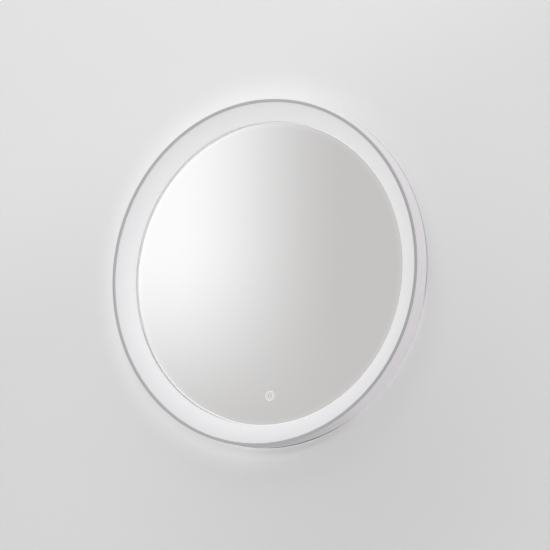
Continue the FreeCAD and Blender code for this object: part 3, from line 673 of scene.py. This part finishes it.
def turned_mesh(name, outlines, centre_z=AXIS_Z, steps=RING_STEPS):
    """Closed rings or solids turned about an axis square to the wall, one for each outline."""
    made = bmesh.new()
    for outline in outlines:
        rings = []
        for step in range(steps):
            angle = math.tau * step / steps
            side, rise = math.cos(angle), math.sin(angle)
            rings.append([made.verts.new((radius * side, -standoff, centre_z + radius * rise))
                          for radius, standoff in outline])
        for here, there in zip(rings, rings[1:] + rings[:1]):
            for i in range(len(outline)):
                corners = (here[i - 1], here[i], there[i], there[i - 1])
                if len({tuple(corner.co) for corner in corners}) > 2:
                    made.faces.new(corners)
    bmesh.ops.remove_doubles(made, verts=made.verts, dist=MERGE_DISTANCE)
    bmesh.ops.dissolve_degenerate(made, edges=made.edges, dist=MERGE_DISTANCE)
    bmesh.ops.recalc_face_normals(made, faces=made.faces)
    return plain_mesh(name, made)


def plain_mesh(name, made):
    """A bmesh as a mesh with smooth faces and sharp corners."""
    mesh = bpy.data.meshes.new(name)
    made.to_mesh(mesh)
    made.free()
    mesh.shade_smooth()
    mesh.set_sharp_from_angle(angle=SHARP_ANGLE)
    return mesh


def add_object(name, mesh):
    """An object at the origin for a mesh."""
    made = bpy.data.objects.new(name, mesh)
    bpy.context.scene.collection.objects.link(made)
    return made


def add_piece(name, mesh, material, replaced=()):
    """A finished piece of the mirror, in the place of the CAD nodes that it stands for."""
    piece = add_object(name, mesh)
    mesh.materials.clear()
    mesh.materials.append(material)
    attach(piece, "mirror")
    if replaced:
        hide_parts(*replaced)
    return piece


def add_ring(name, corners, material, node):
    """A ring turned from the corners of its outline, in the place of a CAD node."""
    add_piece(name, turned_mesh(name, [rounded_outline(corners)]), material, [node])


def dress(material, *nodes):
    """Gives CAD nodes their finish."""
    for node in nodes:
        slots = NODES[node].data.materials
        slots.clear()
        slots.append(material)


def evaluated_mesh(holder):
    """What an object's modifiers make, as a plain mesh; the object is removed."""
    graph = bpy.context.evaluated_depsgraph_get()
    mesh = bpy.data.meshes.new_from_object(holder.evaluated_get(graph), depsgraph=graph)
    holder.modifiers.clear()
    bpy.data.objects.remove(holder)
    return mesh


def drive_cutter(width, span, depth):
    """A tapered blade that cuts one arm of a cross recess, down from the head's top."""
    made = bmesh.new()
    bmesh.ops.create_cube(made, size=1.0)
    for point in made.verts:
        deep = 0.55 if point.co.y < 0 else 1.0
        point.co = (point.co.x * span * deep, point.co.y * 2 * depth, point.co.z * width * deep)
    return plain_mesh("drive_blade", made)


def screw_mesh(name, head_radius, head, shank_radius, shank):
    """A pan-head screw with a cross recess; its seat is at the origin and its head points to +Y."""
    crown = head_radius * 0.55
    outline = rounded_outline([
        (0, -head, 0), (crown, -head, head_radius * 0.4), (head_radius, -head * 0.45, head * 0.2),
        (head_radius, 0, head * 0.08), (shank_radius, 0, 0), (shank_radius, shank - shank_radius, 0),
        (shank_radius * 0.35, shank, 0), (0, shank, 0),
    ])
    body = add_object(name, turned_mesh(name, [outline], 0, SCREW_STEPS))
    blades = []
    for quarter in range(2):
        blade = add_object("drive_blade", drive_cutter(head_radius * 0.22, head_radius * 1.15, head * 0.6))
        across = Matrix.Rotation(quarter * math.pi / 2, 4, "Y")
        blade.data.transform(Matrix.Translation((0, head, 0)) @ across)
        cut = body.modifiers.new("recess", "BOOLEAN")
        cut.object = blade
        cut.operation = "DIFFERENCE"
        cut.solver = "EXACT"
        blades.append(blade)
    mesh = evaluated_mesh(body)
    for blade in blades:
        bpy.data.objects.remove(blade)
    mesh.set_sharp_from_angle(angle=SHARP_ANGLE)
    return mesh


def rivet_mesh(name, sizes, grip, tail):
    """A set blind rivet: a domed head with the pulled stem's pit, and a set tail."""
    head = sizes.rivet_head
    pit = sizes.rivet_radius * 0.5
    outline = rounded_outline([
        (0, -head * 0.55, 0), (pit, -head * 0.55, 0), (pit, -head, 0),
        (sizes.rivet_head_radius * 0.6, -head, head * 0.5),
        (sizes.rivet_head_radius, -head * 0.25, head * 0.12), (sizes.rivet_head_radius, 0, 0),
        (sizes.rivet_radius, 0, 0), (sizes.rivet_radius, grip, 0),
        (sizes.rivet_tail_radius, grip, tail * 0.2), (sizes.rivet_tail_radius, grip + tail, tail * 0.4),
        (0, grip + tail, 0),
    ])
    return turned_mesh(name, [outline], 0, SCREW_STEPS)


# Geometry node trees, with the inputs that each of them has
FIXING_INPUTS = [("Fixing", "NodeSocketObject"), ("Material", "NodeSocketMaterial"),
                 ("Count", "NodeSocketInt"), ("Seed", "NodeSocketInt")]


def new_geometry_tree(name, inputs):
    """An empty geometry tree with named inputs, its inputs' sockets and its output node."""
    group = bpy.data.node_groups.new(name, "GeometryNodeTree")
    group.interface.new_socket("Geometry", in_out="OUTPUT", socket_type="NodeSocketGeometry")
    for label, kind in [*FIXING_INPUTS, *inputs]:
        group.interface.new_socket(label, in_out="INPUT", socket_type=kind)
    tree = Tree(group)
    start = tree.node("NodeGroupInput")
    end = tree.node("NodeGroupOutput")
    return tree, start.outputs, end


def finish_tree(tree, end, points, given, rotation):
    """Puts the fixing on the points, makes the copies real and gives them their finish."""
    fixing = tree.node("GeometryNodeObjectInfo", sockets={"Object": given["Fixing"]})
    copies = tree.node("GeometryNodeInstanceOnPoints", sockets={
        "Points": points, "Instance": fixing.outputs["Geometry"], "Rotation": rotation})
    real = tree.node("GeometryNodeRealizeInstances", sockets={"Geometry": copies.outputs[0]})
    done = tree.node("GeometryNodeSetMaterial", sockets={
        "Geometry": real.outputs[0], "Material": given["Material"]})
    tree.fill(end.inputs[0], done.outputs[0])
    return tree.tree


def any_turn(tree, seed):
    """A turn about the fixing's own axis, different for each copy."""
    chance = tree.node("FunctionNodeRandomValue", {"data_type": "FLOAT"}, {"Max_001": math.tau, "Seed": seed})
    value = socket_of(chance.outputs, "Value_001")
    return tree.node("ShaderNodeCombineXYZ", sockets={"Y": value}).outputs[0]


def ring_tree():
    """Fixings evenly spaced on a circle that faces the wall."""
    tree, given, end = new_geometry_tree("fixings_on_ring", [
        ("Ring Radius", "NodeSocketFloat"), ("Centre", "NodeSocketVector"), ("Start", "NodeSocketFloat")])
    circle = tree.node("GeometryNodeMeshCircle", sockets={
        "Vertices": given["Count"], "Radius": given["Ring Radius"]})
    upright = tree.node("GeometryNodeTransform", sockets={
        "Geometry": circle.outputs[0], "Rotation": (math.pi / 2, 0, 0)})
    about = tree.node("ShaderNodeCombineXYZ", sockets={"Y": given["Start"]})
    placed = tree.node("GeometryNodeTransform", sockets={
        "Geometry": upright.outputs[0], "Rotation": about.outputs[0], "Translation": given["Centre"]})
    return finish_tree(tree, end, placed.outputs[0], given, any_turn(tree, given["Seed"]))


def row_tree():
    """Fixings evenly spaced along a line."""
    tree, given, end = new_geometry_tree("fixings_in_row", [
        ("First", "NodeSocketVector"), ("Step", "NodeSocketVector")])
    line = tree.node("GeometryNodeMeshLine", sockets={
        "Count": given["Count"], "Start Location": given["First"], "Offset": given["Step"]})
    return finish_tree(tree, end, line.outputs[0], given, any_turn(tree, given["Seed"]))


def repeated_mesh(tree, fixing_mesh, values):
    """The mesh that a tree makes from a fixing and the values of its named inputs."""
    fixing = add_object("fixing", fixing_mesh)
    holder = add_object("fixings", bpy.data.meshes.new("fixings"))
    modifier = holder.modifiers.new("fixings", "NODES")
    modifier.node_group = tree
    names = {item.name: item.identifier for item in tree.interface.items_tree if item.in_out == "INPUT"}
    for label, value in {**values, "Fixing": fixing}.items():
        modifier[names[label]] = value
    mesh = evaluated_mesh(holder)
    bpy.data.objects.remove(fixing)
    if not mesh.polygons:
        raise RuntimeError(f"{tree.name} made nothing")
    return mesh


# Operators
class MIRROR_OT_front(bpy.types.Operator):
    """Make the lip, the light ring and the side band"""
    bl_idname = "mirror.front"
    bl_label = "Front rings"

    def execute(self, context):
        sizes, colours = context.scene.mirror_sizes, context.scene.mirror_colours
        fine = sizes.fine_round
        leg_outer = OUTER_RADIUS - sizes.band_thick - sizes.fit_gap
        leg_inner = leg_outer - sizes.leg_thick
        add_ring("lip", [
            (LIP_INNER, LIP_FRONT, sizes.edge_round), (OUTER_RADIUS, LIP_FRONT, sizes.edge_round),
            (OUTER_RADIUS, LIP_BACK, fine), (leg_outer, LIP_BACK, 0), (leg_outer, LEG_BACK, fine),
            (leg_inner, LEG_BACK, fine), (leg_inner, LIP_BACK, 0), (LIP_INNER, LIP_BACK, fine),
        ], satin_aluminium(colours), "trim_ring")
        slope_start = GLASS_FRONT + sizes.foot_height
        slope = (LIP_BACK - slope_start) / (LIP_INNER - VIEW_RADIUS)
        drop = sizes.diffuser_thick * math.hypot(1, slope)
        foot_outer = VIEW_RADIUS + sizes.foot_width
        add_ring("light_ring", [
            (VIEW_RADIUS, FOOT_BACK, fine), (VIEW_RADIUS, slope_start, sizes.foot_round),
            (LIP_INNER, LIP_BACK, 0), (RING_RIM, LIP_BACK, 0), (RING_RIM, LIP_BACK - drop, fine),
            (LIP_INNER, LIP_BACK - drop, 0),
            (foot_outer, slope_start + sizes.foot_width * slope - drop, 0), (foot_outer, FOOT_BACK, fine),
        ], opal_ring(colours, slope_start), "diffuser_ring")
        dress(opal_side(colours), "side_band")
        return {"FINISHED"}


class MIRROR_OT_glass(bpy.types.Operator):
    """Silver the glass, and add its gasket, the lit line and the touch mark"""
    bl_idname = "mirror.glass"
    bl_label = "Mirror glass"

    def execute(self, context):
        sizes, colours = context.scene.mirror_sizes, context.scene.mirror_colours
        dress(silvered_glass(colours), "mirror_glass")
        back, front = standoffs("glass_gasket")
        inner, outer = reach("glass_gasket")
        add_ring("gasket", [(inner, back, 0), (outer, back, 0), (outer, front, 0), (inner, front, 0)],
                 clear_gasket(colours), "glass_gasket")
        film_front = GLASS_FRONT + sizes.film

        def band(least, most):
            """Outline of an etched mark between two radii."""
            corners = [(least, GLASS_FRONT), (most, GLASS_FRONT), (most, film_front), (least, film_front)]
            return [Vector(corner) for corner in corners]

        line_outer = VIEW_RADIUS - sizes.line_inset
        line_inner = line_outer - sizes.line_width - sizes.line_shift
        line = turned_mesh("light_line", [band(line_inner, line_outer)])
        add_piece("light_line", line, edge_light(colours, sizes))
        low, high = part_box("touch_module")
        touch_z = (low.z + high.z) / 2 + sizes.mark_rise
        width, mark_outer = sizes.mark_line, sizes.mark_radius
        mark_inner = mark_outer - MARK_STEP * width
        mark = turned_mesh("touch_mark", [
            band(mark_outer - width, mark_outer), band(mark_inner - MARK_INNER_LINE * width, mark_inner),
            band(0, MARK_DOT * width),
        ], touch_z, SCREW_STEPS)
        add_piece("touch_mark", mark, touch_light(colours))
        return {"FINISHED"}


class MIRROR_OT_fixings(bpy.types.Operator):
    """Make the screws, bolts and rivets"""
    bl_idname = "mirror.fixings"
    bl_label = "Fixings"

    def execute(self, context):
        sizes, colours = context.scene.mirror_sizes, context.scene.mirror_colours
        ring, row = ring_tree(), row_tree()
        zinc = zinc_plate("fastener", colours, scale=900.0)
        screw = (sizes.screw_head_radius, sizes.screw_radius)
        bolt = (sizes.bolt_head_radius, sizes.bolt_radius)
        self.add_screws("band_screws", ring, zinc, screw, {
            "Count": sizes.band_screw_count, "Ring Radius": reach("band_screws")[1] - screw[0],
            "Centre": (0.0, -PLATE_REAR, AXIS_Z), "Start": 0.0, "Seed": sizes.seed,
        })
        self.add_screws("chassis_screws", ring, zinc, bolt, {
            "Count": sizes.bolt_count, "Ring Radius": reach("chassis_screws")[1] - bolt[0],
            "Centre": (0.0, -PLATE_REAR, AXIS_Z), "Start": math.pi / 2, "Seed": sizes.seed + 1,
        })
        low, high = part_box("driver_screws")
        first = Vector((low.x + screw[0], -PLATE_REAR, high.z - screw[0]))
        last = Vector((high.x - screw[0], -PLATE_REAR, low.z + screw[0]))
        self.add_screws("driver_screws", row, zinc, screw, {
            "Count": sizes.supply_screw_count, "First": first,
            "Step": (last - first) / (sizes.supply_screw_count - 1), "Seed": sizes.seed + 2,
        })
        self.add_rivets(row, sizes)
        return {"FINISHED"}

    def add_rivets(self, tree, sizes):
        """The hanger's row of rivets."""
        low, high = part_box("hanger_rivets")
        seat = -high.y + sizes.rivet_head
        mesh = rivet_mesh("rivet", sizes, PLATE_FRONT - seat, -low.y - PLATE_FRONT)
        material = bright_aluminium()
        first = low.x + sizes.rivet_head_radius
        pitch = -2 * first / (sizes.rivet_count - 1)
        made = repeated_mesh(tree, mesh, {
            "Material": material, "Count": sizes.rivet_count, "Seed": sizes.seed,
            "First": (first, -seat, (low.z + high.z) / 2), "Step": (pitch, 0.0, 0.0),
        })
        add_piece("hanger_rivets_fine", made, material, ["hanger_rivets"])

    def add_screws(self, node, tree, material, radii, values):
        """Screws that a tree repeats, in the place of a CAD node."""
        back, tip = standoffs(node)
        mesh = screw_mesh(node, radii[0], PLATE_REAR - back, radii[1], tip - PLATE_REAR)
        made = repeated_mesh(tree, mesh, {**values, "Material": material})
        add_piece(f"{node}_fine", made, material, [node])


class MIRROR_OT_back(bpy.types.Operator):
    """Finish the back plate, the rails and the rubber"""
    bl_idname = "mirror.back"
    bl_label = "Back"

    def execute(self, context):
        colours = context.scene.mirror_colours
        dress(galvanised_sheet(colours), "back_plate", "chassis_ring")
        dress(zinc_plate("zinc_steel", colours, scale=500.0), "wall_rail", "hanger_rail")
        rubber = moulded("black_rubber", colours.rubber, rough=0.66, scale=900.0, depth=0.00003)
        dress(rubber, "wall_bumpers", "cable_grommet")
        return {"FINISHED"}


class MIRROR_OT_inside(bpy.types.Operator):
    """Finish the pieces inside the case"""
    bl_idname = "mirror.inside"
    bl_label = "Inside"

    def execute(self, context):
        sizes, colours = context.scene.mirror_sizes, context.scene.mirror_colours
        dress(strip_circuit(colours, sizes.chip_count), "led_strip")
        dress(led_lens(colours, sizes.chip_count), "led_chips")
        case = moulded("supply_plastic", colours.supply, rough=0.42, scale=1100.0, depth=0.00003)
        dress(case, "driver_case", "driver_cover", "touch_module")
        block = moulded("terminal_plastic", colours.terminal, rough=0.36, scale=800.0, depth=0.00002)
        dress(block, "terminal_block")
        dress(moulded("clip_nylon", colours.clip, rough=0.34, scale=600.0, depth=0.00002), "lead_clips")
        dress(foam("foam_tape", colours.tape), "glass_tape", "module_tape")
        dress(zinc_plate("nut_zinc", colours, scale=900.0), "chassis_nuts")
        for node in ("led_lead", "sensor_lead"):
            dress(cable_jacket(f"{node}_jacket", colours.lead, colours.lead, AXIS_Z), node)
        low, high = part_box("mains_leads")
        between = (low.z + high.z) / 2
        dress(cable_jacket("mains_jacket", colours.live, colours.neutral, between), "mains_leads")
        return {"FINISHED"}


class MIRROR_OT_stage(bpy.types.Operator):
    """Build the wall, the floor, the lights and the camera"""
    bl_idname = "mirror.stage"
    bl_label = "Stage"

    def execute(self, context):
        settings, colours = context.scene.mirror_stage, context.scene.mirror_colours
        context.scene.view_settings.view_transform = "Standard"
        self.add_room(settings, colours)
        self.add_light(settings, colours)
        self.add_camera(context, settings)
        return {"FINISHED"}

    def add_room(self, settings, colours):
        """A wall behind the mirror that only the camera sees, and a wide floor."""
        paint = self.wall_paint(colours)
        floor_z, wall_top, half = -settings.floor_drop, 2.0, 14.0
        wall = self.add_sheet("wall", [(-half, WALL_Y, floor_z), (half, WALL_Y, floor_z),
                                       (half, WALL_Y, wall_top), (-half, WALL_Y, wall_top)], paint)
        wall.visible_diffuse = False
        wall.visible_glossy = False
        wall.visible_shadow = False
        self.add_sheet("floor", [(-half, -half, floor_z), (half, -half, floor_z),
                                 (half, half, floor_z), (-half, half, floor_z)], paint)

    def add_sheet(self, name, corners, material):
        """A flat piece of the stage."""
        made = bmesh.new()
        made.faces.new([made.verts.new(corner) for corner in corners])
        sheet = add_object(name, plain_mesh(name, made))
        sheet.data.materials.append(material)
        return sheet

    def wall_paint(self, colours):
        """Matt paint with painted light and shade: lighter towards the top, a painted shadow below and right
        of the mirror, and a painted halo round it; open from behind so that the mirror's back shows.
        """
        halo_reach, spill_reach, painted_shadow_reach = 0.062, 0.03, 0.7
        paint = Paint("wall_paint", {"Roughness": 0.9, "Specular IOR Level": 0.2})
        x, _, z = paint.parts(paint.place)
        roller = paint.noise(350.0, 3.0) * 0.02
        # Painted light: the wall turns lighter towards the top and towards the left
        rise = paint.step(z - x * 0.4 + roller, -0.05, 0.3)
        # Painted shadow: a broad soft darkening of the wall below the mirror, a little to its right
        side, drop = x - 0.2, z + 0.48
        painted_shadow = paint.step((side * side + drop * drop) ** 0.5 + roller, painted_shadow_reach, 0.0)
        upper = paint.blend(colours.wall, colours.wall_lit_high, rise)
        paint.feed("Base Color", paint.blend(upper, colours.wall_shadow_low, painted_shadow))
        radius, angle, _ = paint.polar()
        # Painted light: a halo glows on the wall round the mirror, strongest towards the lower left and none
        # at the right
        right = paint.near(angle, -10) ** 0.5
        strength = (0.095 - paint.facing(angle, 45) * 0.04) * (1 - right)
        halo = paint.step(radius, OUTER_RADIUS, OUTER_RADIUS + halo_reach, 1.0, 0.0) * strength
        # Painted light: more glow just below the mirror's lower left edge, filling its shadow there
        sine, cosine = paint.math("SINE", angle), paint.math("COSINE", angle)
        below = paint.step(sine, -0.3, -0.75) * paint.step(cosine, 0.45, -0.25)
        painted_spill = paint.step(radius, OUTER_RADIUS, OUTER_RADIUS + spill_reach, 0.085, 0.0) * below
        paint.glow(colours.glow, halo + painted_spill)
        behind = paint.node("ShaderNodeNewGeometry").outputs["Backfacing"]
        clear = paint.node("ShaderNodeBsdfTransparent").outputs[0]
        paint.surface(paint.node("ShaderNodeMixShader", sockets={
            "Fac": behind, "Shader": paint.shader.outputs[0], "Shader_001": clear}))
        return paint.material

    def add_light(self, settings, colours):
        """An even studio, lamps at the right, the left and behind, and the panel that the mirror shows."""
        world = bpy.data.worlds.new("studio")
        world.use_nodes = True
        world.node_tree.nodes["Background"].inputs["Color"].default_value = solid(colours.sky)
        bpy.context.scene.world = world
        powers = {"key": settings.key_power, "fill": settings.fill_power, "back": settings.back_power}
        for name, (width, place) in LAMPS.items():
            self.add_lamp(name, powers[name], width, place)
        panel = self.add_sheet("panel", [
            (PANEL_LEFT, -PANEL_AWAY, PANEL_LOW), (PANEL_LEFT, -PANEL_AWAY, PANEL_HIGH),
            (PANEL_RIGHT, -PANEL_AWAY, PANEL_HIGH), (PANEL_RIGHT, -PANEL_AWAY, PANEL_LOW),
        ], self.panel_light(settings, colours))
        panel.visible_camera = False
        panel.visible_shadow = False

    def add_lamp(self, name, power, width, place):
        """A square soft lamp, aimed at the mirror."""
        lamp = bpy.data.lights.new(name, "AREA")
        lamp.size = width
        lamp.energy = power
        holder = add_object(name, lamp)
        holder.location = place
        aim = Vector((0, 0, AXIS_Z)) - holder.location
        holder.rotation_euler = aim.to_track_quat("-Z", "Y").to_euler()

    def panel_light(self, settings, colours):
        """Two soft lights in one panel, which fade into the studio's even light at their edges."""
        paint = Paint("panel", {})
        x, _, z = paint.parts(paint.place)
        side = paint.step(x, -1.625, -2.011) * paint.step(x, PANEL_LEFT, -2.8) * paint.step(z, -0.02, 0.41)
        front = paint.step(x, 0.3, -0.3) * paint.step(x, -1.3, -0.7) * paint.step(z, -0.6, 0.0)
        lit = (side + front) * paint.step(z, PANEL_HIGH, 1.2)
        peak = tuple(map(sum, zip(colours.sky, settings.panel_light)))
        light = paint.blend(colours.sky, peak, lit)
        paint.surface(paint.node("ShaderNodeEmission", sockets={"Color": light}))
        return paint.material

    def add_camera(self, context, settings):
        """The camera, aimed a little beside the lip's middle."""
        azimuth, elevation = settings.azimuth, settings.elevation
        back = Vector((math.sin(azimuth) * math.cos(elevation), -math.cos(azimuth) * math.cos(elevation),
                       math.sin(elevation)))
        facing = back.to_track_quat("Z", "Y")
        camera = add_object("camera", bpy.data.cameras.new("camera"))
        camera.data.lens = settings.lens
        camera.data.clip_end = CAMERA_REACH
        aim = Vector((settings.aim_right, settings.aim_up, settings.distance))
        camera.location = Vector((0, -LIP_FRONT, AXIS_Z)) + facing @ aim
        camera.rotation_euler = facing.to_euler()
        context.scene.camera = camera


class MIRROR_PT_panel(bpy.types.Panel):
    """Sizes, colours and steps of the mirror"""
    bl_label = "Round LED mirror"
    bl_idname = "MIRROR_PT_panel"
    bl_space_type = "VIEW_3D"
    bl_region_type = "UI"
    bl_category = "Mirror"

    def draw(self, context):
        scene = context.scene
        for group in (scene.mirror_sizes, scene.mirror_colours, scene.mirror_stage):
            box = self.layout.box()
            for key in group.__annotations__:
                box.prop(group, key)
        for operator in OPERATORS:
            self.layout.operator(operator.bl_idname)


OPERATORS = (MIRROR_OT_front, MIRROR_OT_glass, MIRROR_OT_fixings, MIRROR_OT_back, MIRROR_OT_inside,
             MIRROR_OT_stage)
CLASSES = (MirrorSizes, MirrorColours, StageSettings, *OPERATORS, MIRROR_PT_panel)


def register():
    """Registers the classes and their settings on the scene."""
    for item in CLASSES:
        bpy.utils.register_class(item)
    bpy.types.Scene.mirror_sizes = PointerProperty(type=MirrorSizes)
    bpy.types.Scene.mirror_colours = PointerProperty(type=MirrorColours)
    bpy.types.Scene.mirror_stage = PointerProperty(type=StageSettings)


def unregister():
    """Takes the settings and the classes away again."""
    del bpy.types.Scene.mirror_sizes
    del bpy.types.Scene.mirror_colours
    del bpy.types.Scene.mirror_stage
    for item in reversed(CLASSES):
        bpy.utils.unregister_class(item)


def main():
    """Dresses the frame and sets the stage."""
    register()
    bpy.ops.mirror.front()
    bpy.ops.mirror.glass()
    bpy.ops.mirror.fixings()
    bpy.ops.mirror.back()
    bpy.ops.mirror.inside()
    bpy.ops.mirror.stage()


if __name__ == "__main__":
    main()
